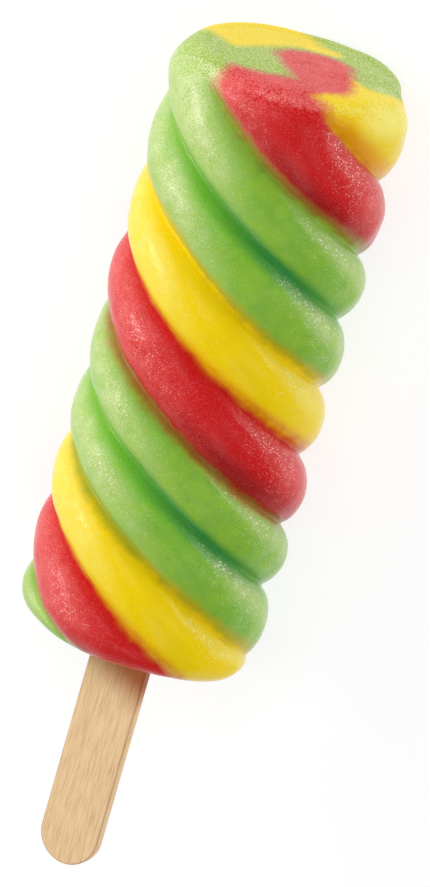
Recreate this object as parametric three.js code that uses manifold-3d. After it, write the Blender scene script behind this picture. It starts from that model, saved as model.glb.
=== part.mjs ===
// A twisted water-ice lolly on a flat wooden stick, lying on its back.
//
// Four strands of ice, two green, one yellow and one red, wind round each other down the
// lolly. The red one also fills the middle, where the stick is frozen in, and a patch of
// yellow is folded into the cut top.
//
// Frame: millimetres, +Z up. The lolly's axis runs along Y, with its cut top at +Y and the
// stick at -Y. An angle of 0 round the axis faces up (+Z) and a quarter turn faces +X.
// "Depth" is the distance from the cut top down the axis, towards the stick.

import * as THREE from 'three';
import { mergeVertices } from 'three/addons/utils/BufferGeometryUtils.js';
import Module from 'manifold-3d';

// The ice
const ICE_LENGTH = 94.8; // cut top to the bottom of the ice
const CREST_RADIUS = 18.85; // axis to the crest of a ridge
const GROOVE_DEPTH = 2.6; // crest to the bottom of a groove
const GROOVE_SHARPNESS = 0.95; // 1 would end each ridge upright in its groove
const CORE_RADIUS = 7; // the red middle
const RIM_RADIUS = 4.4; // rounding of the top's edge
const FOOT_RADIUS = 6.3; // rounding of the bottom's edge
const TOP_CROWN = 0.6; // how far the cut top bulges
const SMOOTH_RADIUS = 0.7 * CREST_RADIUS; // the ridges fade out towards this radius

// The twist
const STRANDS = 4;
const RIDGE_SPACING = 10.95; // crest to crest along the axis
const FIRST_CREST = 17.8; // depth of the first green crest on the upper side
const TWIST_EASE = 0.33; // the ridges run steeper across the upper side than underneath
const TOP_RUNOUT = 4.6; // the ridges straighten out as they reach the top,
const RUNOUT_LENGTH = 5.8; // over about this depth

// The yellow patch in the top: the part of the top that a circle beside it covers
const PATCH_RADIUS = 12.5;
const PATCH_DISTANCE = 17; // axis to the circle's centre
const PATCH_ANGLE = THREE.MathUtils.degToRad(214);
const PATCH_DEPTH = 4;

// The stick
const STICK_LENGTH = 114;
const STICK_WIDTH = 9.8;
const STICK_THICKNESS = 2;
const STICK_BEVEL = 0.3;
const STICK_SHOWING = 37.1; // length outside the ice
const STICK_TURN = THREE.MathUtils.degToRad(-22); // about its own length
const STICK_SHIFT = -0.9; // it sits a little to one side of the axis

// Fits
const GAP = 0.3; // between neighbouring pieces
const SEAM = 0.022; // half the gap between two strands, as a share of the ridge spacing
const REST_FLAT = 0.5; // how much of the lowest crests is flat, so that the lolly lies still

// Mesh steps
const RIDGE_STEPS = 10; // across one ridge
const INNER_STEPS = 6; // across one strand where it meets the core
const SIDE_STEPS = 46; // along the straight part of the lolly
const EDGE_STEPS = 4; // round the edge of the top or the bottom
const CORE_STEPS = 32;
const PATCH_STEPS = 40;
const EQUAL_LENGTHS = 0.001; // diagonals closer in length than this count as equal

const WALL_RADIUS = CORE_RADIUS + GAP; // where the side wall of a strand meets the core
const AXIS_HEIGHT = CREST_RADIUS - REST_FLAT;
const TOP_Y = (ICE_LENGTH + STICK_SHOWING - TOP_CROWN) / 2;

const wasm = await Module();
wasm.setup();

function solidFrom(geometry) {
  const bare = geometry.clone();
  bare.deleteAttribute('normal');
  bare.deleteAttribute('uv');
  const merged = mergeVertices(bare);
  return new wasm.Manifold(new wasm.Mesh({
    numProp: 3,
    vertProperties: new Float32Array(merged.attributes.position.array),
    triVerts: new Uint32Array(merged.index.array),
  }));
}

function geometryFrom(solid) {
  const { vertProperties, triVerts } = solid.getMesh();
  const geometry = new THREE.BufferGeometry();
  geometry.setAttribute('position', new THREE.BufferAttribute(vertProperties, 3));
  geometry.setIndex(new THREE.BufferAttribute(triVerts, 1));
  return geometry;
}

function pointAt(angle, radius, depth) {
  return new THREE.Vector3(
    radius * Math.sin(angle),
    TOP_Y - depth,
    AXIS_HEIGHT + radius * Math.cos(angle),
  );
}

// The ridges are counted downwards: a whole number is a crest, a half is a groove. This
// gives the angle at which the ridge count has a value, at a depth.
function angleOf(ridge, depth) {
  const twisted = depth + TOP_RUNOUT * Math.exp(-depth / RUNOUT_LENGTH) - FIRST_CREST;
  const even = (2 * Math.PI / STRANDS) * (twisted / RIDGE_SPACING - ridge);
  return even - TWIST_EASE * Math.sin(even);
}

// 1 on a crest, 0 in a groove, and part of an ellipse between them.
function ridgeHeight(ridge) {
  const offCrest = 2 * Math.abs(ridge - Math.round(ridge));
  const inGroove = Math.sqrt(1 - GROOVE_SHARPNESS ** 2);
  const height = Math.sqrt(1 - (GROOVE_SHARPNESS * offCrest) ** 2);
  return (height - inGroove) / (1 - inGroove);
}

function surfaceRadius(ridge, crest) {
  const fade = Math.max(0, (crest - SMOOTH_RADIUS) / (CREST_RADIUS - SMOOTH_RADIUS));
  return crest - GROOVE_DEPTH * fade * (1 - ridgeHeight(ridge));
}

function crownHeight(radius) {
  return TOP_CROWN * (1 - (radius / CREST_RADIUS) ** 2);
}

// The lolly's outline: the depth and the crest radius at each level, from top to bottom.
function outlineLevels() {
  const levels = [];
  const inset = (CORE_RADIUS + CREST_RADIUS - RIM_RADIUS) / 2;
  levels.push({ depth: -crownHeight(inset), crest: inset });
  for (let i = 0; i < EDGE_STEPS; i += 1) {
    const slope = (Math.PI / 2) * (1 - i / EDGE_STEPS);
    const crest = CREST_RADIUS - RIM_RADIUS * (1 - Math.cos(slope));
    levels.push({ depth: RIM_RADIUS * (1 - Math.sin(slope)) - crownHeight(crest), crest });
  }
  const sideLength = ICE_LENGTH - RIM_RADIUS - FOOT_RADIUS;
  for (let i = 0; i <= SIDE_STEPS; i += 1) {
    levels.push({ depth: RIM_RADIUS + sideLength * (i / SIDE_STEPS), crest: CREST_RADIUS });
  }
  for (let i = 1; i <= EDGE_STEPS; i += 1) {
    const slope = (Math.PI / 2) * (i / EDGE_STEPS);
    levels.push({
      depth: ICE_LENGTH - FOOT_RADIUS * (1 - Math.sin(slope)),
      crest: CREST_RADIUS - FOOT_RADIUS * (1 - Math.cos(slope)),
    });
  }
  return levels;
}

// The closed section of the ice between two ridge counts, at one level: out over the
// ridges, in along one side wall, back round the core and out along the other wall.
function sectionLoop(from, to, innerRadius, { depth, crest }) {
  const ridgeSteps = Math.round(RIDGE_STEPS * (to - from));
  const innerSteps = Math.round(INNER_STEPS * (to - from));
  const at = (ridge, radius) => pointAt(angleOf(ridge, depth), radius, depth);
  const wallRadii = [(surfaceRadius(to, crest) + WALL_RADIUS) / 2];
  if (innerRadius < WALL_RADIUS) wallRadii.push(WALL_RADIUS);
  const loop = [];
  for (let i = 0; i <= ridgeSteps; i += 1) {
    const ridge = from + (to - from) * (i / ridgeSteps);
    loop.push(at(ridge, surfaceRadius(ridge, crest)));
  }
  for (const radius of wallRadii) loop.push(at(to, radius));
  for (let i = 0; i <= innerSteps; i += 1) {
    loop.push(at(to + (from - to) * (i / innerSteps), innerRadius));
  }
  for (const radius of wallRadii.reverse()) loop.push(at(from, radius));
  return loop;
}

// A closed solid through a stack of loops that have the same number of points, from the top
// down, each running from +X towards +Z. Each face is split along its shorter diagonal, and
// where they are equal by which way the loop runs, so that facing walls are split alike.
function loftSolid(loops) {
  const points = loops.flat();
  const count = loops[0].length;
  const fromAxis = (i) => Math.hypot(points[i].x, points[i].z - AXIS_HEIGHT);
  const index = [];
  for (let row = 0; row + 1 < loops.length; row += 1) {
    for (let i = 0; i < count; i += 1) {
      const next = (i + 1) % count;
      const [a, b] = [row * count + i, row * count + next];
      const [c, d] = [a + count, b + count];
      const longer = points[b].distanceTo(points[c]) - points[a].distanceTo(points[d]);
      const equal = Math.abs(longer) < EQUAL_LENGTHS;
      if (equal ? fromAxis(b) > fromAxis(a) : longer < 0) {
        index.push(a, b, c, b, d, c);
      } else {
        index.push(a, b, d, a, d, c);
      }
    }
  }
  const cap = (loop, start, facesUp) => {
    const outline = loop.map((point) => new THREE.Vector2(point.x, point.z));
    for (const [a, b, c] of THREE.ShapeUtils.triangulateShape(outline, [])) {
      index.push(start + a, start + (facesUp ? c : b), start + (facesUp ? b : c));
    }
  };
  cap(loops[0], 0, true);
  cap(loops.at(-1), (loops.length - 1) * count, false);
  const geometry = new THREE.BufferGeometry().setFromPoints(points);
  geometry.setIndex(index);
  return solidFrom(geometry);
}

function iceBetween(from, to, innerRadius) {
  return loftSolid(outlineLevels().map((level) => sectionLoop(from, to, innerRadius, level)));
}

function strand(ridge, innerRadius = WALL_RADIUS) {
  return iceBetween(ridge - 0.5 + SEAM, ridge + 0.5 - SEAM, innerRadius);
}

function core() {
  const profile = [new THREE.Vector2(0, TOP_Y - ICE_LENGTH)];
  profile.push(new THREE.Vector2(CORE_RADIUS, TOP_Y - ICE_LENGTH));
  profile.push(new THREE.Vector2(CORE_RADIUS, TOP_Y + crownHeight(CORE_RADIUS)));
  profile.push(new THREE.Vector2(CORE_RADIUS / 2, TOP_Y + crownHeight(CORE_RADIUS / 2)));
  profile.push(new THREE.Vector2(0, TOP_Y + crownHeight(0)));
  const geometry = new THREE.LatheGeometry(profile, CORE_STEPS);
  return solidFrom(geometry.translate(0, 0, AXIS_HEIGHT));
}

// The upright cylinder that marks off the yellow patch, from above the top down.
function patchCutter(clearance) {
  const above = 2 * TOP_CROWN;
  const height = above + PATCH_DEPTH + clearance;
  const radius = PATCH_RADIUS + clearance;
  const geometry = new THREE.CylinderGeometry(radius, radius, height, PATCH_STEPS);
  const centre = pointAt(PATCH_ANGLE, PATCH_DISTANCE, height / 2 - above);
  return solidFrom(geometry.translate(centre.x, centre.y, centre.z));
}

// The stick's flat shape with full round ends, grown on every side by a clearance.
function stickGeometry(clearance, bevel) {
  const halfWidth = STICK_WIDTH / 2 + clearance - bevel;
  const straight = STICK_LENGTH / 2 - STICK_WIDTH / 2;
  const thickness = STICK_THICKNESS + 2 * clearance - 2 * bevel;
  const shape = new THREE.Shape();
  shape.absarc(0, straight, halfWidth, 0, Math.PI);
  shape.absarc(0, -straight, halfWidth, Math.PI, 2 * Math.PI);
  shape.closePath();
  const geometry = new THREE.ExtrudeGeometry(shape, {
    depth: thickness,
    curveSegments: 12,
    bevelEnabled: bevel > 0,
    bevelThickness: bevel,
    bevelSize: bevel,
    bevelSegments: 2,
  });
  const centreY = TOP_Y - ICE_LENGTH - STICK_SHOWING + STICK_LENGTH / 2;
  geometry.translate(0, 0, -thickness / 2).rotateY(STICK_TURN);
  return geometry.translate(STICK_SHIFT, centreY, AXIS_HEIGHT);
}

// What lies below the surface that the lolly rests on.
function ground() {
  const geometry = new THREE.BoxGeometry(4 * CREST_RADIUS, 2 * ICE_LENGTH, CREST_RADIUS);
  return solidFrom(geometry.translate(0, TOP_Y - ICE_LENGTH / 2, -CREST_RADIUS / 2));
}

const green = new THREE.MeshStandardMaterial({ color: 0x86b84a, roughness: 0.42, metalness: 0 });
const yellow = new THREE.MeshStandardMaterial({ color: 0xf6d62c, roughness: 0.42, metalness: 0 });
const red = new THREE.MeshStandardMaterial({ color: 0xcf3440, roughness: 0.42, metalness: 0 });
const wood = new THREE.MeshStandardMaterial({ color: 0xe2bd8d, roughness: 0.7, metalness: 0 });

const lolly = new THREE.Group();

function addNode(name, geometry, material) {
  const mesh = new THREE.Mesh(geometry, material);
  mesh.name = name;
  lolly.add(mesh);
}

// In order down the upper side: green, green, yellow, red.
const ridges = { upperGreen: 0, lowerGreen: 1, yellow: 2, red: 3 };
const below = ground();
const patchHole = patchCutter(GAP);
const stickSlot = solidFrom(stickGeometry(GAP, 0));

const upperGreen = strand(ridges.upperGreen).subtract(patchHole).subtract(below);
const lowerGreen = strand(ridges.lowerGreen).subtract(patchHole).subtract(below);
const yellowIce = strand(ridges.yellow).subtract(below);
const redIce = strand(ridges.red, CORE_RADIUS - 1).add(core()).subtract(stickSlot).subtract(below);
const patch = iceBetween(ridges.upperGreen - 0.5, ridges.lowerGreen + 0.5, WALL_RADIUS)
  .intersect(patchCutter(0))
  .subtract(below);

addNode('green_strand_upper', geometryFrom(upperGreen), green);
addNode('green_strand_lower', geometryFrom(lowerGreen), green);
addNode('yellow_strand', geometryFrom(yellowIce), yellow);
addNode('red_strand_and_core', geometryFrom(redIce), red);
addNode('yellow_top_patch', geometryFrom(patch), yellow);
addNode('stick', stickGeometry(0, STICK_BEVEL), wood);

export default lolly;
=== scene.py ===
"""A twisted water-ice lolly on a flat birch stick, lying on its back on a plain pale floor.

The ice is one seamless surface. Four strands wind down it, two green, one yellow and one red,
and the red one and a patch of yellow show in the cut top. Its shape is worked out in
millimetres in the lolly's own terms and then put into metres:

  depth   distance from the cut top down the axis, towards the stick
  angle   round the axis, 0 facing up and a quarter turn facing +X
  ridge   count of the ridges going down: a whole number is a crest, a half is a groove;
          crests 0 and 1 are green, 2 is yellow and 3 is red
  front   height over the axis, which with x gives the plan of the cut top
"""

import math

import bmesh
import bpy
import numpy as np
from mathutils import Matrix, Vector


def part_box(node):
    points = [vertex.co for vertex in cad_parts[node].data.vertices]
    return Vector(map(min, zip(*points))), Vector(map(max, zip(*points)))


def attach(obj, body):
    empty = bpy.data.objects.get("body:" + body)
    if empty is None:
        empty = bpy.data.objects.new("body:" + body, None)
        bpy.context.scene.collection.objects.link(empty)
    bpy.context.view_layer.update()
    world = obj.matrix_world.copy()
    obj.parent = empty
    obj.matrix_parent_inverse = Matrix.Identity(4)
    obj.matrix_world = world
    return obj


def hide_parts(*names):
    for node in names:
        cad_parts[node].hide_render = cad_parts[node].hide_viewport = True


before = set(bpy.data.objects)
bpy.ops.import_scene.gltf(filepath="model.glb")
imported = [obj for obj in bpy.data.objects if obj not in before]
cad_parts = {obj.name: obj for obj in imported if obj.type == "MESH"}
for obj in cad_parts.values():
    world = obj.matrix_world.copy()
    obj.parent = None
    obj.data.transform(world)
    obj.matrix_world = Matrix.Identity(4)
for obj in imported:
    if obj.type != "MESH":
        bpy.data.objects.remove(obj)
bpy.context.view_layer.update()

MM = 0.001

# The ice, in millimetres. What the frame's boxes give is read from them.
STRAND_NODES = ("green_strand_upper", "green_strand_lower", "yellow_strand", "red_strand_and_core")
ICE_NODES = STRAND_NODES + ("yellow_top_patch",)
TOP_CROWN = 0.6  # how far the cut top bulges up in its middle
CREST_RADIUS = max(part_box(node)[1].x for node in STRAND_NODES) / MM
TOP_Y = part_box("red_strand_and_core")[1].y / MM - TOP_CROWN
ICE_LENGTH = TOP_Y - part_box("red_strand_and_core")[0].y / MM
FLAT_SPOT_DEPTH = 0.5  # how much the crests that it lies on are flattened
AXIS_HEIGHT = CREST_RADIUS - FLAT_SPOT_DEPTH
GROOVE_DEPTH = 2.8
GROOVE_SHARPNESS = 0.95
CREASE_ROUNDING = 0.05  # of half the ridge spacing
RIM_RADIUS = 4.4
FOOT_RADIUS = 6.3
SMOOTH_RADIUS = 0.7 * CREST_RADIUS  # the ends have no grooves inside it
TOP_TILT = 0.5  # rise of the cut top at its right edge
FOOT_DROP = 0.45  # how much lower the bottom reaches on the right

# Its small unevenness, in millimetres
RIM_SWELL = 0.8  # at the back
RIM_SINK = 0.6  # at the sides
FOOT_SWELL = 0.25  # on the right
WAVE_HEIGHT, WAVE_SIZE = 0.26, 9
DENT_HEIGHT, DENT_SIZE = 0.14, 3.4

# The twist
STRANDS = 4
RIDGE_SPACING = 10.95
FIRST_CREST = 17.8
TWIST_EASE = 0.35
LOW_TWIST_EASE = 0.05  # what the ease gains near the bottom
TWIST_LAG = 0.47  # half way down
TOP_RUNOUT = 4.6
RUNOUT_LENGTH = 5.8
RIDGE_WIDTH = 10.3  # across one strand, square to its run
RED_GROOVE_SHIFT = 0.06  # of the ridge spacing

# The stick, in millimetres
STICK_LENGTH = 114
STICK_WIDTH = 9.8
STICK_THICKNESS = 2
STICK_EDGE = 0.3  # radius of its rounded edges
STICK_TURN = math.radians(-22)  # about its length
STICK_SHIFT = -0.9  # of its middle line, to the side of the axis
STICK_END_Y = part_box("stick")[0].y / MM

# Mesh steps
COLUMNS_PER_RIDGE = 44
TOP_ROWS = 44
RIM_ROWS = 26
FOOT_ROWS = 30
BOTTOM_ROWS = 18
STICK_ROUND_STEPS = 40
STICK_SIDE_STEPS = 119
STICK_EDGE_STEPS = 6

# The view, the light and the floor, in millimetres where nothing else is said
IMAGE_WIDTH, IMAGE_HEIGHT = 430, 887
PIXELS_PER_MM = 6.65
TOP_CENTRE_PIXEL = (298.2, 63.5)
VIEW_TILT = math.radians(17)  # from straight above towards the cut top
VIEW_LEAN = math.radians(16)  # the lolly's top leans to the right in the picture
CAMERA_DISTANCE = 2500
SENSOR = 36
FAR_CLIP = 20  # how far the camera sees, in metres
LIGHT_DISTANCE = 600
LIGHT_TARGET = Vector((0, 12, AXIS_HEIGHT))
ROOM_BRIGHTNESS = 0.27
FLOOR_HALF = 4000  # of its width
FLOOR_GAP = 0.1  # under the lolly


# ---------------------------------------------------------------- numbers and colours

def soft_least(first, second, reach):
    """The smaller of two values, with the corner between them rounded over a reach."""
    return -reach * np.logaddexp(-first / reach, -second / reach)


def smoothstep(low, high, value):
    """0 below low, 1 above high, and the cubic 3t^2 - 2t^3 between them."""
    t = np.clip((value - low) / (high - low), 0, 1)
    return t * t * (3 - 2 * t)


def value_noise(points, cell, seed):
    """Smooth noise from -1 to 1: random values on a cubic lattice, eased between its corners."""
    size = 64
    lattice = np.random.default_rng(seed).uniform(-1, 1, (size,) * 3)
    scaled = points / cell
    base = np.floor(scaled).astype(int)
    ease = scaled - base
    ease = ease * ease * (3 - 2 * ease)
    total = np.zeros(len(points))
    for corner in np.ndindex(2, 2, 2):
        share = np.where(corner, ease, 1 - ease).prod(axis=1)
        i, j, k = ((base + corner) % size).T
        total += share * lattice[i, j, k]
    return total


def srgb(red, green, blue):
    """A colour given as 0-255 screen values, as linear light with alpha."""
    screen = np.array([red, green, blue]) / 255
    linear = np.where(screen <= 0.04045, screen / 12.92, ((screen + 0.055) / 1.055) ** 2.4)
    return (*linear, 1.0)


# ---------------------------------------------------------------- the shape of the ice

def twist_lag(depth):
    """How far the twist lags, in millimetres down the axis: most half way down, and nothing
    near both ends."""
    return TWIST_LAG * smoothstep(22, 40, depth) * (1 - smoothstep(58, 78, depth))


def angle_of(ridge, depth):
    """The angle of a ridge count at a depth: an even twist that runs out near the top and lags
    a little half way down, less an ease in proportion to its own sine, which is greater near
    the bottom."""
    twisted = depth + TOP_RUNOUT * np.exp(-depth / RUNOUT_LENGTH) - FIRST_CREST - twist_lag(depth)
    even = (2 * np.pi / STRANDS) * (twisted / RIDGE_SPACING - ridge)
    return even - (TWIST_EASE + LOW_TWIST_EASE * smoothstep(48, 78, depth)) * np.sin(even)


def from_groove(ridge):
    """0 in the nearest groove and 1 on the nearest crest. The groove between the red and the
    green lies a little further down than half way."""
    past_red = np.clip(ridge - 3, 0, 1)
    ridge = ridge - RED_GROOVE_SHIFT * np.sin(np.pi * past_red) ** 2
    return 1 - 2 * np.abs(ridge - np.round(ridge))


def ridge_height(ridge):
    """1 on a crest and 0 in a groove, part of an ellipse between them, with the crease of the
    groove rounded by a hyperbola."""
    off_crest = 1 - np.hypot(from_groove(ridge), CREASE_ROUNDING)
    in_groove = math.sqrt(1 - GROOVE_SHARPNESS ** 2)
    height = np.sqrt(1 - (GROOVE_SHARPNESS * off_crest) ** 2)
    return (height - in_groove) / (1 - in_groove)


def crown_height(radius):
    """How far the cut top bulges up at a radius: a parabola that ends at the crest radius."""
    return TOP_CROWN * (1 - (radius / CREST_RADIUS) ** 2)


def outline():
    """Depth and crest radius down the profile, without its two ends on the axis: out over the
    crown, round the rim, down the side, round the foot and in across the bottom. A row on the
    side is one column's share of the ridge spacing below the last."""
    flat_radius = CREST_RADIUS - RIM_RADIUS
    crown = np.linspace(0, flat_radius, TOP_ROWS, endpoint=False)[1:]
    slope = np.linspace(np.pi / 2, 0, RIM_ROWS, endpoint=False)
    rim = CREST_RADIUS - RIM_RADIUS * (1 - np.cos(slope))
    rim_depth = RIM_RADIUS * (1 - np.sin(slope)) - crown_height(rim)
    side_length = ICE_LENGTH - RIM_RADIUS - FOOT_RADIUS
    side_rows = round(side_length / RIDGE_SPACING * COLUMNS_PER_RIDGE)
    side_depth = np.linspace(RIM_RADIUS, ICE_LENGTH - FOOT_RADIUS, side_rows)
    turn = np.linspace(0, np.pi / 2, FOOT_ROWS + 1)[1:]
    foot = CREST_RADIUS - FOOT_RADIUS * (1 - np.cos(turn))
    foot_depth = ICE_LENGTH - FOOT_RADIUS * (1 - np.sin(turn))
    bottom = np.linspace(foot[-1], 0, BOTTOM_ROWS + 1)[1:-1]
    crest = np.concatenate([crown, rim, np.full(side_rows, CREST_RADIUS), foot, bottom])
    depth = np.concatenate([-crown_height(crown), rim_depth, side_depth, foot_depth,
                            np.full(len(bottom), ICE_LENGTH)])
    return depth[:, None], crest[:, None]


def ice_grid():
    """Points of the ice on a grid of rows down the outline and columns of constant ridge
    count, with each point's ridge count and depth. The radius is the crest's, less the groove
    depth where the ridge height falls, shallower near both ends and fading out towards their
    middle. The cut top rises a little to the right and the bottom reaches lower there. Gives
    each point's outward direction as well, square to the outline without its grooves."""
    depth, crest = outline()
    outward, upward = np.gradient(depth, axis=0), np.gradient(crest, axis=0)
    outward, upward = outward / np.hypot(outward, upward), upward / np.hypot(outward, upward)
    ridge = np.arange(STRANDS * COLUMNS_PER_RIDGE)[None, :] / COLUMNS_PER_RIDGE
    fade = np.clip((crest - SMOOTH_RADIUS) / (CREST_RADIUS - SMOOTH_RADIUS), 0, None)
    fade *= 0.45 + 0.55 * smoothstep(0, 8, depth) - 0.45 * smoothstep(-10, -2, depth - ICE_LENGTH)
    radius = crest - GROOVE_DEPTH * fade * (1 - ridge_height(ridge))
    angle = angle_of(ridge, depth)
    depth, ridge = np.broadcast_arrays(depth, ridge)
    x = radius * np.sin(angle)
    front = radius * np.cos(angle)
    rise = TOP_TILT * x / CREST_RADIUS * (1 - smoothstep(2, 14, depth))
    drop = FOOT_DROP * smoothstep(-2, 12, x) * smoothstep(-14, -3, depth - ICE_LENGTH)
    grid = np.stack([x, TOP_Y - depth + rise - drop, AXIS_HEIGHT + front], axis=-1)
    away = np.stack([outward * np.sin(angle), upward + 0 * angle, outward * np.cos(angle)], axis=-1)
    return grid, away, ridge, depth


def tube_faces(rows, columns):
    """Quads between neighbouring rows and columns, closed round the columns, each starting at
    an end of its shorter diagonal."""
    row, column = np.meshgrid(np.arange(rows - 1), np.arange(columns), indexing="ij")
    beside = (column + 1) % columns
    corners = [row * columns + column, row * columns + beside,
               (row + 1) * columns + beside, (row + 1) * columns + column]
    return np.stack(corners, axis=-1).reshape(-1, 4)


def cap_faces(start, columns, pole, flip):
    """A fan of triangles from one row of columns to a pole."""
    column = start + np.arange(columns)
    beside = start + (np.arange(columns) + 1) % columns
    order = [beside, column] if flip else [column, beside]
    return np.stack(order + [np.full(columns, pole)], axis=-1)


def closed_ice():
    """The grid of the ice as one list of points, closed with a pole at each end, with each
    point's outward direction, ridge count and depth, and the faces between them."""
    grid, away, ridge, depth = ice_grid()
    rows, columns = ridge.shape
    poles = [[0, TOP_Y + TOP_CROWN, AXIS_HEIGHT], [0, TOP_Y - ICE_LENGTH, AXIS_HEIGHT]]
    points = np.concatenate([grid.reshape(-1, 3), poles])
    away = np.concatenate([away.reshape(-1, 3), [[0, 1, 0], [0, -1, 0]]])
    ridge = np.concatenate([ridge.ravel(), [0, 0]])
    depth = np.concatenate([depth.ravel(), [-TOP_CROWN, ICE_LENGTH]])
    top_pole = rows * columns
    faces = [
        tube_faces(rows, columns),
        cap_faces(0, columns, top_pole, flip=True),
        cap_faces((rows - 1) * columns, columns, top_pole + 1, flip=False),
    ]
    return points, away, ridge, depth, faces


def end_swell(x, front, depth, away):
    """How far the ends bulge out, in millimetres, most where the surface is half way from the
    side to the end. The rim bulges at the back and sinks in at its sides, and the foot bulges on
    the right."""
    half_way = 2 * away[:, 1] * np.hypot(away[:, 0], away[:, 2])
    rim = np.clip(half_way, 0, 1) * (1 - smoothstep(3, 7, depth))
    foot = np.clip(-half_way, 0, 1) * smoothstep(-7, -3, depth - ICE_LENGTH)
    rim_share = RIM_SWELL * smoothstep(2, -10, front) - RIM_SINK * smoothstep(10, 18, np.abs(x))
    return rim * rim_share + foot * FOOT_SWELL * smoothstep(-2, 10, x)


# ---------------------------------------------------------------- where each colour lies

def strand_inside(ridge, first, last, sharpness=1):
    """How far inside the stretch of ridge counts from first to last a ridge count is, in
    millimetres square to the strands, negative outside, and times a sharpness on the side of
    the first."""
    middle, half = (first + last) / 2, (last - first) / 2
    off = (ridge - middle + STRANDS / 2) % STRANDS - STRANDS / 2
    return (half - np.abs(off)) * RIDGE_WIDTH * np.where(off < 0, sharpness, 1)


def disc_inside(x, front, centre, radius):
    """How far inside a disc a point is, in millimetres, negative outside."""
    return radius - np.hypot(x - centre[0], front - centre[1])


def capsule_inside(x, front, start, end, start_radius, end_radius):
    """How far inside a capsule with two different end radii a point is."""
    run = np.subtract(end, start)
    along = ((x - start[0]) * run[0] + (front - start[1]) * run[1]) / (run @ run)
    along = np.clip(along, 0, 1)
    radius = start_radius + (end_radius - start_radius) * along
    return radius - np.hypot(x - start[0] - along * run[0], front - start[1] - along * run[1])


def side_colours(x, ridge, depth):
    """How far inside the red and inside the yellow each point of the side is. The colours follow
    the ridge count. The red creeps furthest over the green half way down, and the yellow over
    the green high up on the left. The border of yellow and red is sharper on the left and near
    the top."""
    red_creep = 0.13 * smoothstep(22, 42, depth) * (1 - 0.9 * smoothstep(62, 85, depth))
    red_creep -= 0.04 * smoothstep(12, 22, depth)
    yellow_creep = 0.09 + 0.17 * smoothstep(-4, -18, x) * (1 - smoothstep(35, 60, depth))
    yellow_creep -= 0.12 * smoothstep(45, 60, depth) * smoothstep(6, -8, x)
    red_start = 2.52 - (0.03 + 0.06 * smoothstep(-4, 6, x)) * smoothstep(16, 30, depth)
    sharpness = 1 + 1.2 * smoothstep(2, -14, x) + (1 - smoothstep(14, 24, depth))
    red = strand_inside(ridge, red_start, 3.5 + red_creep, sharpness)
    yellow = strand_inside(ridge, 1.5 - yellow_creep, 2.7)
    return red, yellow


def top_colours(x, front):
    """How far inside the red and inside the yellow each point of the cut top's plan is. The red
    is a round-ended core and a band along the upper edge, with a notch of green between them on
    the left. The yellow is a patch at the back, which runs out into a tail on the right, and a
    wedge on the right, where its strand comes over the rim."""
    core = capsule_inside(x, front, (2.4, -0.6), (4.3, 8.5), 5.8, 4.7)
    band = front - 11.1 + 0.2 * np.abs(x + 4.2)
    left_edge = -9.2 - 0.5 * np.clip(front - 10, 0, 3)
    right_side = np.maximum(14.5 - 0.7 * front - x, front - 14 - 0.31 * x)
    band = soft_least(np.minimum(band, 0.9 * (x - left_edge)), right_side, 0.5)
    red = np.maximum(core, band)

    back = -0.3 - front
    patch = soft_least(0.8 * (x + 11 + 0.75 * back), 0.69 * (1.06 * back - 8.4 - x), 0.8)
    right_end = 0.65 * (front + 15.5) - 0.76 * x
    patch = np.maximum(soft_least(patch, right_end, 0.8), disc_inside(x, front, (-10.2, -3), 2.3))
    tail = capsule_inside(x, front, (0, -10.5), (4.6, -8.8), 3, 1.4)
    wedge = np.minimum(front - 6 + 0.25 * np.maximum(x - 12.3, -3.5) ** 2, x - 2)
    yellow = np.maximum(np.maximum(patch, tail), wedge)
    return red, yellow


def colour_fields(x, front, ridge, depth):
    """How far inside the red and inside the yellow each point is, in millimetres, and its share
    in the cut top, which falls from 1 to 0 round the rim. The colours of the side and of the
    top blend by that share."""
    red_side, yellow_side = side_colours(x, ridge, depth)
    red_top, yellow_top = top_colours(x, front)
    top = 1 - smoothstep(0.3, 4.4, depth)
    red = red_side + (red_top - red_side) * top
    yellow = yellow_side + (yellow_top - yellow_side) * top
    return red, yellow, top


def painted_groove_light(x, front, ridge, middle, reach, side):
    """A share from 0 to 1 of painted groove shade and glow round one ridge count, strongest where the
    surface is turned to the right by an angle, in degrees, and on the side opposite to that."""
    off = np.abs((ridge - middle + STRANDS / 2) % STRANDS - STRANDS / 2)
    return smoothstep(reach, 0.05, off) * np.cos(np.arctan2(x, front) - math.radians(side)) ** 2


def groove_shade_and_glow(x, front, ridge, red):
    """The painted shade of the grooves between the two greens, under the red and between yellow and red,
    and a painted glow of bright green on the left of the lower green strand, near its upper groove, where
    the light falls."""
    in_red, in_yellow = smoothstep(-0.5, 1.5, red), smoothstep(0, -1, red)
    # painted shade in the grooves
    groove_shade = painted_groove_light(x, front, ridge, 0.53, 0.24, 18)
    groove_shade = np.maximum(groove_shade, in_red * painted_groove_light(x, front, ridge, 3.42, 0.36, 28))
    groove_shade = np.maximum(groove_shade, in_yellow * painted_groove_light(x, front, ridge, 2.46, 0.25, 40))
    # painted glow in a green groove on the lit left
    groove_glow = painted_groove_light(x, front, ridge, 0.64, 0.26, -45)
    return groove_shade, groove_glow


# ---------------------------------------------------------------- frost and crystals

def ways_faced(mesh):
    """Each point's normal, given as shares to the picture's right and up."""
    normals = np.empty(len(mesh.vertices) * 3, np.float32)
    mesh.vertex_normals.foreach_get("vector", normals)
    return normals.reshape(-1, 3) @ np.array(view_axes()[:2]).T


def lobe(facing, strength, centre, spread):
    """A rounded peak over the ways a surface can face, given as shares to the picture's right
    and up."""
    away = ((facing - centre) / spread) ** 2
    return strength * np.exp(-away.sum(axis=1))


def sheen_on_flanks(facing):
    """Painted sheen by the way the surface faces, where the light falls: thick on the left flank and at
    the right edge.
    """
    left = lobe(facing, 0.9, (-0.7, 0.2), (0.42, 0.65))
    right = lobe(facing, 0.68, (0.9, -0.1), (0.24, 0.45))
    return left + right - 0.1


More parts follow.
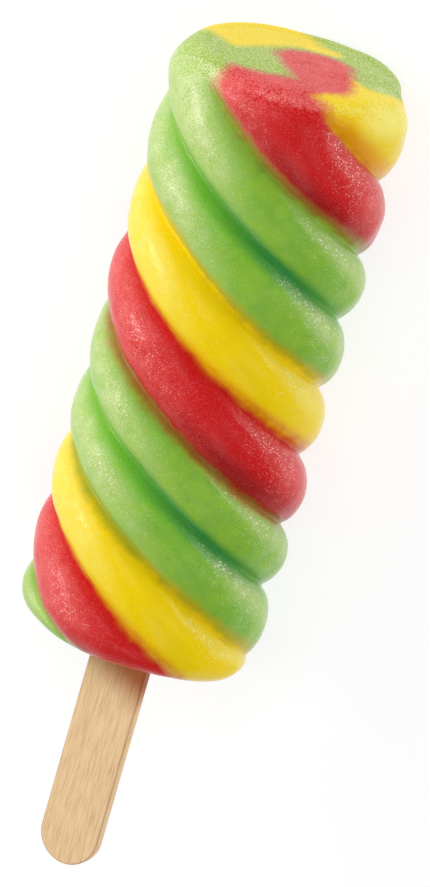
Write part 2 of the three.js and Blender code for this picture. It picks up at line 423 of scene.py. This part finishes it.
def glints_on_flanks(facing):
    """How thickly the surface is strewn with painted glints, bright spots where the light falls, from 0
    to 1.
    """
    left = lobe(facing, 0.4, (-0.63, 0.05), (0.19, 0.3)) + lobe(facing, 0.12, (-0.4, 0), (0.4, 0.7))
    right = lobe(facing, 0.9, (0.79, 0.04), (0.13, 0.25)) + lobe(facing, 0.25, (0.65, -0.45), (0.25, 0.4))
    return left + right


def frost_sheen_and_glints(x, front, ridge, depth, facing, red, yellow, top):
    """How thick the frost with its painted sheen and the painted glints are. The red has the most frost
    and the yellow the least, and the green has less of it far out on both sides. There is more high up on
    the left, a painted highlight on the rim over the yellow wedge, and real frost on the cut top. There
    is less in the creases, which clear only in part on the left. A thin painted highlight line runs along
    the upper half of the rim."""
    off_crease = smoothstep(0.02, 0.16, from_groove(ridge))
    off_crease = np.maximum(off_crease, 0.4 * smoothstep(-4, -14, x))
    in_red = smoothstep(-0.5, 1.5, red)
    in_yellow = smoothstep(-1, 1, yellow) * (1 - in_red)

    # painted sheen on the flanks that face the light, with more frost on the red and less on the yellow
    frost_and_sheen = sheen_on_flanks(facing) + 0.06 - 0.12 * in_yellow + 0.1 * in_red
    frost_and_sheen -= 0.12 * (1 - in_red) * (1 - in_yellow) * smoothstep(12, 17, np.abs(x))
    frost_and_sheen += 0.18 * (1 - smoothstep(10, 20, depth)) * smoothstep(4, -10, x)
    # painted highlight on the rim over the yellow wedge
    frost_and_sheen += 0.8 * (1 - smoothstep(3.5, 7, depth)) * smoothstep(9, 14, x) * smoothstep(-2, 4, front)
    top_frost = 0.3 + 0.45 * smoothstep(-1, 1, red) - 0.12 * in_yellow
    top_frost *= 1 - smoothstep(0.9, 2.6, depth)
    frost_and_sheen = np.maximum(frost_and_sheen * (off_crease + (1 - off_crease) * top), top_frost)

    # a thin painted highlight line along the upper half of the rim
    rim_highlight = np.exp(-((depth - 1.1) / 0.55) ** 2) * smoothstep(2, 10, front)
    # painted glints where the light falls, kept out of the creases
    glints = glints_on_flanks(facing) * off_crease
    return frost_and_sheen + 0.35 * rim_highlight, glints + 0.3 * rim_highlight


# ---------------------------------------------------------------- the ice as an object

def new_object(name, points, faces, material):
    """A smooth-shaded mesh object with its points in millimetres put into metres."""
    mesh = bpy.data.meshes.new(name)
    mesh.from_pydata(points * MM, [], [face for group in faces for face in group.tolist()])
    mesh.shade_smooth()
    mesh.materials.append(material)
    thing = bpy.data.objects.new(name, mesh)
    bpy.context.scene.collection.objects.link(thing)
    return thing


def add_value(mesh, name, values):
    """Stores one number for each point of a mesh, which its material reads by the name."""
    mesh.attributes.new(name, "FLOAT", "POINT").data.foreach_set("value", values.astype(np.float32))


def make_ice(material):
    """The whole ice, made a little uneven in its outward directions, flat where it lies on the
    floor, with what its material reads at each point."""
    points, away, ridge, depth, faces = closed_ice()
    ice = new_object("ice", points, faces, material)
    mesh = ice.data
    facing = ways_faced(mesh)
    x, front = points[:, 0], points[:, 2] - AXIS_HEIGHT
    uneven = WAVE_HEIGHT * value_noise(points, WAVE_SIZE, seed=3)
    uneven += DENT_HEIGHT * value_noise(points, DENT_SIZE, seed=4)
    uneven += end_swell(x, front, depth, away)
    moved = points + away * uneven[:, None]
    moved[:, 2] = np.maximum(moved[:, 2], 0)
    mesh.vertices.foreach_set("co", (moved * MM).astype(np.float32).ravel())
    mesh.update()

    red, yellow, top = colour_fields(x, front, ridge, depth)
    groove_shade, groove_glow = groove_shade_and_glow(x, front, ridge, red)
    frost_and_sheen, glints = frost_sheen_and_glints(x, front, ridge, depth, facing, red, yellow, top)
    add_value(mesh, "red_in", red)
    add_value(mesh, "yellow_in", yellow)
    add_value(mesh, "top", top)
    # painted shade and painted glow in the grooves
    add_value(mesh, "groove_shade", groove_shade * (1 - top))
    add_value(mesh, "groove_glow", groove_glow * (1 - top))
    # frost with its painted sheen, and the painted glints
    add_value(mesh, "frost_and_sheen", frost_and_sheen)
    add_value(mesh, "glints", glints)
    return ice


# ---------------------------------------------------------------- materials

class Value:
    """A shader socket that does arithmetic: each operator adds a Math node to its material."""

    def __init__(self, maker, socket):
        self.maker = maker
        self.socket = socket

    def _math(self, operation, first, second):
        return self.maker.node("ShaderNodeMath", {"operation": operation}, {0: first, 1: second})

    def __add__(self, other):
        return self._math("ADD", self, other)

    def __sub__(self, other):
        return self._math("SUBTRACT", self, other)

    def __rsub__(self, other):
        return self._math("SUBTRACT", other, self)

    def __mul__(self, other):
        return self._math("MULTIPLY", self, other)

    __radd__ = __add__
    __rmul__ = __mul__


class Finish:
    """A material with one Principled shader. Fixed values are set on its own sockets."""

    def __init__(self, name, **fixed):
        self.material = bpy.data.materials.new(name)
        self.material.use_nodes = True
        self.tree = self.material.node_tree
        self.tree.nodes.clear()
        output = self.tree.nodes.new("ShaderNodeOutputMaterial")
        self.shader = self.tree.nodes.new("ShaderNodeBsdfPrincipled")
        self.tree.links.new(self.shader.outputs[0], output.inputs["Surface"])
        self.feed(**fixed)

    def _feed(self, socket, value):
        if isinstance(value, Value):
            self.tree.links.new(value.socket, socket)
        else:
            socket.default_value = value

    def node(self, kind, settings=None, inputs=None, output=0):
        """Adds a node: first its settings, then its inputs by name or number."""
        node = self.tree.nodes.new(kind)
        for name, value in (settings or {}).items():
            setattr(node, name, value)
        for name, value in (inputs or {}).items():
            self._feed(node.inputs[name], value)
        return Value(self, node.outputs[output])

    def feed(self, **inputs):
        """Links or sets inputs of the Principled shader."""
        for name, value in inputs.items():
            self._feed(self.shader.inputs[name.replace("_", " ")], value)

    def millimetres(self):
        """Object coordinates in millimetres."""
        place = self.node("ShaderNodeTexCoord", output="Object")
        return self.node("ShaderNodeVectorMath", {"operation": "SCALE"}, {0: place, "Scale": 1 / MM})

    def attribute(self, name):
        """What add_value stored under a name."""
        return self.node("ShaderNodeAttribute", {"attribute_name": name}, output="Fac")

    def noise(self, place, size, detail):
        """Noise from 0 to 1 with features of about a size."""
        inputs = {"Vector": place, "Scale": 1 / size, "Detail": detail}
        return self.node("ShaderNodeTexNoise", inputs=inputs)

    def step(self, value, low, high):
        """0 below low, 1 above high and a smooth rise between them."""
        return self.node("ShaderNodeMapRange", {"interpolation_type": "SMOOTHSTEP"},
                         {"Value": value, "From Min": low, "From Max": high})

    def mix(self, share, first, second, blend="MIX"):
        """A colour that goes from the first to the second with a share from 0 to 1."""
        return self.node("ShaderNodeMix", {"data_type": "RGBA", "blend_type": blend},
                         {0: share, 6: first, 7: second}, output=2)

    def bump(self, height, distance):
        """A relief of a height from 0 to 1 times a distance in millimetres."""
        inputs = {"Height": height, "Distance": distance * MM, "Strength": 1.0}
        return self.node("ShaderNodeBump", inputs=inputs)


def frosted_ice():
    """Green, yellow and red water ice, each with a clear and a milky tint. It is milky where frost lies
    and where a painted sheen lies on the flanks that face the light. The colours melt into each other
    with soft borders, muddy between red and green and olive between yellow and green. The grooves have
    painted shade, one green groove on the left has a painted glow, and the green is patchy. Painted
    glints lie in clumps on a fine crystal grain."""
    finish = Finish(
        "frosted_ice",
        IOR=1.31,
        Specular_IOR_Level=0.25,
        Subsurface_Weight=0.45,
        Subsurface_Scale=1.6 * MM,
        Subsurface_Radius=(1.0, 0.7, 0.4),
    )
    place = finish.millimetres()
    cloud = finish.noise(place, 7, detail=2)
    mottle = finish.noise(place, 2.4, detail=3)
    facets = finish.noise(place, 0.26, detail=0)
    grain = finish.step(finish.noise(place, 0.17, detail=0), 0.35, 0.65)
    top_grain = finish.step(finish.noise(place, 0.3, detail=0), 0.35, 0.65)
    flecks = finish.step(finish.noise(place, 0.23, detail=0), 0.6, 0.69)
    clumps = finish.step(finish.noise(place, 1.1, detail=1), 0.35, 0.65)

    wander = (mottle - 0.5) * 1.6
    red = finish.step(finish.attribute("red_in") + wander, -1.6, 1.3)
    yellow = finish.step(finish.attribute("yellow_in") - wander, -1.5, 1.5)
    top = finish.attribute("top")
    sparkle = finish.attribute("glints")

    def strands(green_tint, yellow_tint, red_tint):
        """One tint for each colour of ice, melted into one another at the borders."""
        return finish.mix(red, finish.mix(yellow, green_tint, yellow_tint), red_tint)

    patches = finish.step((cloud + mottle) * 0.5, 0.4, 0.6)
    green = finish.mix(patches, srgb(148, 196, 62), srgb(133, 188, 62))
    green = finish.mix(top * 0.5, green, srgb(168, 184, 50))
    clear = strands(green, srgb(255, 219, 0), srgb(213, 20, 24))
    # tints of the painted shade in the grooves
    dark = strands(srgb(52, 150, 70), srgb(238, 168, 4), srgb(165, 10, 16))
    # tints of frost and of the painted sheen
    frost_and_sheen_tints = strands(srgb(214, 226, 160), srgb(255, 237, 118), srgb(234, 102, 100))
    # tints of the painted glints
    glint_tints = strands(srgb(240, 247, 212), srgb(255, 243, 160), srgb(255, 200, 192))

    muddy = red * red * (1 - red) * (1 - yellow) * 4
    olive = yellow * (1 - yellow) * (1 - red) * (1 - top) * 4
    # painted shade in the grooves
    clear = finish.mix(finish.attribute("groove_shade"), clear, dark)
    # painted glow of bright green in a groove on the lit left
    clear = finish.mix(finish.attribute("groove_glow") * 0.6, clear, srgb(124, 204, 44))
    clear = finish.mix(muddy, clear, srgb(146, 112, 40))
    clear = finish.mix(olive * 0.4, clear, srgb(140, 128, 20))
    # darker grain, stronger where the painted glints lie
    clear = finish.mix(grain * (0.2 + sparkle * 0.7), clear, srgb(215, 215, 215), blend="MULTIPLY")

    # frost with its painted sheen on the lit flanks
    frost_and_sheen = finish.attribute("frost_and_sheen") * (0.5 + grain * 0.75 + (mottle - 0.5) * 1.5)
    frost_and_sheen = frost_and_sheen + top * (top_grain - 0.5) * 0.75 + (cloud - 0.5) * 0.12
    colour = finish.mix(frost_and_sheen, clear, frost_and_sheen_tints)
    # painted glints in clumps, over a faint crystal grain everywhere
    colour = finish.mix(flecks * (sparkle * clumps * 1.7 + 0.04), colour, glint_tints)

    finish.feed(
        Base_Color=colour,
        Roughness=0.14 + mottle * 0.08 + top * 0.25,
        Normal=finish.bump(facets, 0.035),
    )
    return finish.material


def birch():
    """Pale birch: long soft bands, fine fibres and short dark dashes along the stick, with painted shade
    along its rounded edges and a painted shadow of the ice on it just below the ice."""
    finish = Finish("birch", IOR=1.45)
    place = finish.millimetres()

    def drawn_out(squeeze, size, detail):
        """Noise squeezed along the stick's length by a share, so that its features run long."""
        inputs = {"Vector": place, "Scale": (1, squeeze, 1), "Rotation": (0, STICK_TURN, 0)}
        return finish.noise(finish.node("ShaderNodeMapping", inputs=inputs), size, detail)

    bands = drawn_out(0.06, 1.1, detail=3)
    fibres = drawn_out(0.035, 0.13, detail=2)
    dashes = drawn_out(0.07, 0.3, detail=1)
    colour = finish.mix(bands, srgb(235, 197, 146), srgb(249, 220, 174))
    colour = finish.mix(finish.step(fibres, 0.4, 0.7) * 0.48, colour, srgb(196, 140, 98))
    colour = finish.mix(finish.step(dashes, 0.64, 0.72) * 0.28, colour, srgb(176, 118, 78))
    # painted shade along the rounded edges
    colour = finish.mix(finish.attribute("edge_shade") * 0.5, colour, srgb(176, 122, 78))
    # painted shadow of the ice on the stick
    colour = finish.mix(finish.attribute("ice_shadow"), colour, srgb(184, 124, 80), blend="MULTIPLY")
    finish.feed(
        Base_Color=colour,
        Roughness=0.62 - bands * 0.1,
        Normal=finish.bump(fibres, 0.03),
    )
    return finish.material


def pale_floor():
    """A plain matt floor that glows a little, so that it stays white round the lolly."""
    finish = Finish(
        "pale_floor",
        Base_Color=srgb(165, 165, 165),
        Roughness=0.8,
        Emission_Color=(0.98, 0.98, 1, 1),
        Emission_Strength=0.72,
    )
    return finish.material


# ---------------------------------------------------------------- the stick

def stick_rings():
    """Inset, height and painted edge shade of the stick's rings, from the middle line of its lower face
    out to the edge, round the edge with a quarter circle at each face, and back to the middle line on
    top. The painted shade rises and falls over each quarter circle, as a sine squared."""
    half_width, half_thick = STICK_WIDTH / 2, STICK_THICKNESS / 2
    turn = np.linspace(0, np.pi / 2, STICK_EDGE_STEPS + 1)
    inward = np.array([half_width, half_width * 0.6, half_width * 0.25, 2 * STICK_EDGE])
    face = np.full(len(inward), half_thick)
    inset = np.concatenate([inward, STICK_EDGE * (1 - np.sin(turn))])
    level = np.concatenate([face, half_thick - STICK_EDGE * (1 - np.cos(turn))])
    edge_shade = np.concatenate([0 * face, np.sin(2 * turn) ** 2])
    rings = [inset, inset[::-1]], [-level, level[::-1]], [edge_shade, edge_shade[::-1]]
    return [np.concatenate(halves)[:, None] for halves in rings]


def stick_outline():
    """Points round the stick's outline: two half circles joined by straight sides. Each is given
    by its direction from the centre of its half circle, across and along the stick, and by where
    that centre lies along it. On a side that centre moves along."""
    straight = (STICK_LENGTH - STICK_WIDTH) / 2
    arc = np.linspace(0, np.pi, STICK_ROUND_STEPS + 1)
    side = np.linspace(1, -1, STICK_SIDE_STEPS + 1)[1:-1]
    left = np.stack([-np.ones_like(side), 0 * side, straight * side], axis=1)
    right = left[::-1] * (-1, 1, 1)
    upper = np.stack([np.cos(arc), np.sin(arc), np.full(len(arc), straight)], axis=1)
    lower = np.stack([-np.cos(arc), -np.sin(arc), np.full(len(arc), -straight)], axis=1)
    return np.concatenate([upper, left, lower, right]).T


def make_stick(material):
    """The flat stick, turned about its length, as rings that follow its round-ended outline. A ring lies
    inside the outline by its inset, so its ends are half circles of the width less it. Its points also
    hold a painted shade along its edges and a painted shadow of the ice, which fades out below the ice."""
    inset, level, edge_shade = stick_rings()
    across, along, centre = stick_outline()
    reach = STICK_WIDTH / 2 - inset
    flat_x = reach * across
    y = centre + reach * along + STICK_END_Y + STICK_LENGTH / 2
    flat_z = level + 0 * flat_x
    x = STICK_SHIFT + flat_x * math.cos(STICK_TURN) + flat_z * math.sin(STICK_TURN)
    z = AXIS_HEIGHT - flat_x * math.sin(STICK_TURN) + flat_z * math.cos(STICK_TURN)
    points = np.stack([x, y, z], axis=-1).reshape(-1, 3)
    stick = new_object("birch_stick", points, [tube_faces(*x.shape)], material)
    # the painted shadow reaches further down on the right
    below_ice = TOP_Y - ICE_LENGTH - y - 0.45 * x
    # painted shade along the rounded edges
    add_value(stick.data, "edge_shade", (edge_shade + 0 * x).ravel())
    # painted shadow of the ice, fading out below it
    add_value(stick.data, "ice_shadow", (1 - smoothstep(3.5, 10, below_ice)).ravel())
    merge_doubles(stick.data)
    return stick


def merge_doubles(mesh):
    """Joins the points that lie on one another and turns all faces outwards."""
    work = bmesh.new()
    work.from_mesh(mesh)
    bmesh.ops.remove_doubles(work, verts=work.verts, dist=0.001 * MM)
    bmesh.ops.recalc_face_normals(work, faces=work.faces)
    work.to_mesh(mesh)
    work.free()


# ---------------------------------------------------------------- floor, light and camera

def make_floor():
    """One wide square a hair below the lolly."""
    corners = np.array([[-1, -1, 0], [1, -1, 0], [1, 1, 0], [-1, 1, 0]]) * FLOOR_HALF
    floor = new_object("floor", corners - (0, 0, FLOOR_GAP), [np.array([[0, 1, 2, 3]])], pale_floor())


def view_axes():
    """The picture's right, its up and the line of sight, as directions in the scene."""
    forward = Vector((0, -math.sin(VIEW_TILT), -math.cos(VIEW_TILT)))
    upright = Vector((0, math.cos(VIEW_TILT), -math.sin(VIEW_TILT)))
    up = math.cos(VIEW_LEAN) * upright - math.sin(VIEW_LEAN) * Vector((1, 0, 0))
    return forward.cross(up), up, forward


def soft_light(name, right, up, near, size, power):
    """An area light of a width and height that faces the ice near its middle, from the side
    given as shares of the picture's right, its up and the way towards the viewer."""
    axes = view_axes()
    way = (right * axes[0] + up * axes[1] - near * axes[2]).normalized()
    lamp = bpy.data.lights.new(name, "AREA")
    lamp.shape = "RECTANGLE"
    lamp.size, lamp.size_y = size[0] * MM, size[1] * MM
    lamp.energy = power
    light = bpy.data.objects.new(name, lamp)
    place = Matrix.Translation(LIGHT_TARGET * MM + way * LIGHT_DISTANCE * MM)
    light.visible_camera = False
    light.matrix_world = place @ way.to_track_quat("Z", "Y").to_matrix().to_4x4()
    bpy.context.scene.collection.objects.link(light)


def light_scene():
    """A dim white room and soft lights round the lolly, strongest from the picture's left and
    right."""
    world = bpy.data.worlds.new("white_room")
    world.use_nodes = True
    world.node_tree.nodes["Background"].inputs["Color"].default_value = (1, 1, 1, 1)
    world.node_tree.nodes["Background"].inputs["Strength"].default_value = ROOM_BRIGHTNESS
    bpy.context.scene.world = world
    soft_light("left_key", -0.93, 0.19, 0.32, (110, 110), 0.86)
    soft_light("left_glint", -0.9, 0.3, 0.3, (20, 70), 0.25)
    soft_light("upper_left", -0.6, 0.5, 0.62, (300, 300), 0.81)
    soft_light("front", -0.1, 0.1, 1, (300, 300), 0.7)
    soft_light("lower_right", 0.6, -0.4, 0.7, (300, 300), 0.42)
    soft_light("below", 0, -0.8, 0.6, (300, 300), 0.58)
    soft_light("above", 0.25, 0.92, 0.3, (120, 120), 0.42)
    soft_light("right_key", 0.97, 0.12, 0.16, (220, 240), 0.9)
    bpy.context.scene.view_settings.view_transform = "Standard"


def add_camera():
    """A long lens that looks down on the lolly, tilted towards its cut top and turned about its
    line of sight, placed so that the middle of the cut top shows at its pixel."""
    right, up, forward = view_axes()
    across = (TOP_CENTRE_PIXEL[0] - IMAGE_WIDTH / 2) / PIXELS_PER_MM
    above = (IMAGE_HEIGHT / 2 - TOP_CENTRE_PIXEL[1]) / PIXELS_PER_MM
    aim = Vector((0, TOP_Y, AXIS_HEIGHT)) - right * across - up * above
    camera = bpy.data.objects.new("camera", bpy.data.cameras.new("camera"))
    axes = Matrix((right, up, -forward)).transposed().to_4x4()
    camera.matrix_world = Matrix.Translation((aim - forward * CAMERA_DISTANCE) * MM) @ axes
    camera.data.sensor_width = SENSOR
    camera.data.lens = SENSOR * CAMERA_DISTANCE * PIXELS_PER_MM / IMAGE_HEIGHT
    camera.data.clip_end = FAR_CLIP
    bpy.context.scene.collection.objects.link(camera)
    bpy.context.scene.camera = camera


ice = make_ice(frosted_ice())
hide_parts(*ICE_NODES)
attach(ice, "root")

stick = make_stick(birch())
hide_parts("stick")
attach(stick, "root")

make_floor()
light_scene()
add_camera()
